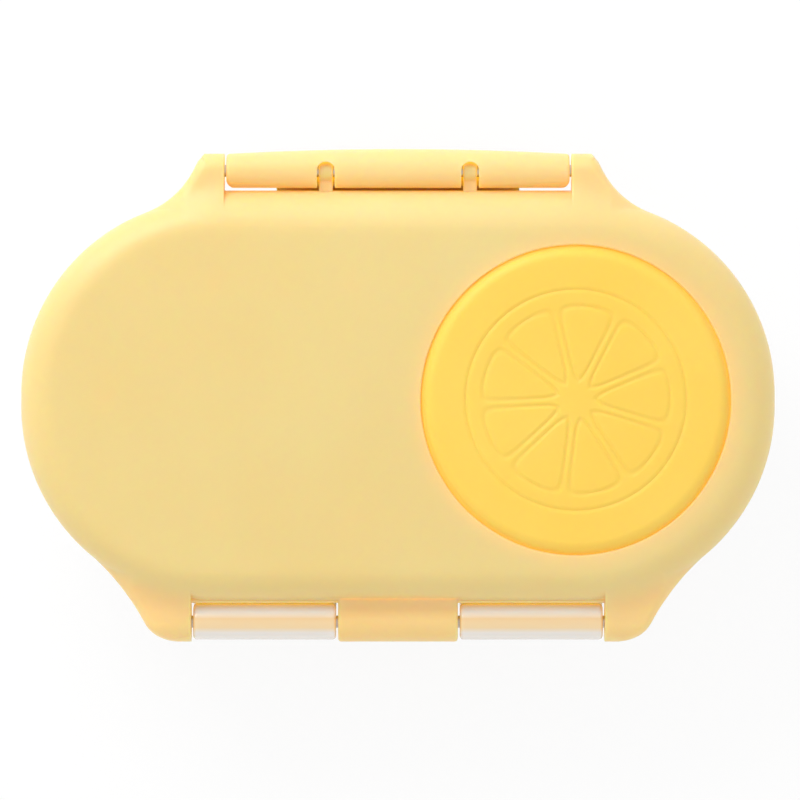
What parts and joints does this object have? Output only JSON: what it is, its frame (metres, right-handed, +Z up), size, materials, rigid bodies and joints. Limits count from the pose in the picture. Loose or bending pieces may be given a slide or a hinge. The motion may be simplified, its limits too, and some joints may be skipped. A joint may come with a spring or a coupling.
{
  "type": "toddler snack container",
  "caption": "Rounded snack box with a frosted clear tub, hinged lid, stretchy round silicone hub, swinging front latch and a lift-out divider.",
  "frame": {"origin": "centre of the flat face that the tub stands on", "axes": "+X to the right along the container's length, +Y from the hinge to the latch, +Z up through the lid"},
  "size_m": [0.185, 0.1211, 0.0462],
  "materials": {
    "frosted_tub": "frosted clear, semi-gloss",
    "divider_plastic": "satin moulded",
    "lid_plastic": "satin moulded",
    "liner_plastic": "semi-gloss moulded",
    "seal_silicone": "soft matte",
    "hub_silicone": "soft matte",
    "pin_steel": "drawn wire"
  },
  "bodies": {
    "tub": {"base": "frosted_tub", "divider": "divider_plastic"},
    "lid": {"lid_shell": "lid_plastic", "lid_liner": "liner_plastic", "lid_seal": "seal_silicone", "fruit_hub": "hub_silicone", "latch_pin": "pin_steel", "hinge_pin": "pin_steel"},
    "latch": {"latch": "lid_plastic"}
  },
  "joints": [
    {"name": "lid_hinge", "type": "hinge", "parent": "tub", "child": "lid", "pos_m": [0, -0.0545, 0.034], "axis": [1, 0, 0], "range_deg": [0, 180]},
    {"name": "latch_hinge", "type": "hinge", "parent": "lid", "child": "latch", "pos_m": [0, 0.0563, 0.036], "axis": [1, 0, 0], "range_deg": [0, 90]}
  ]
}
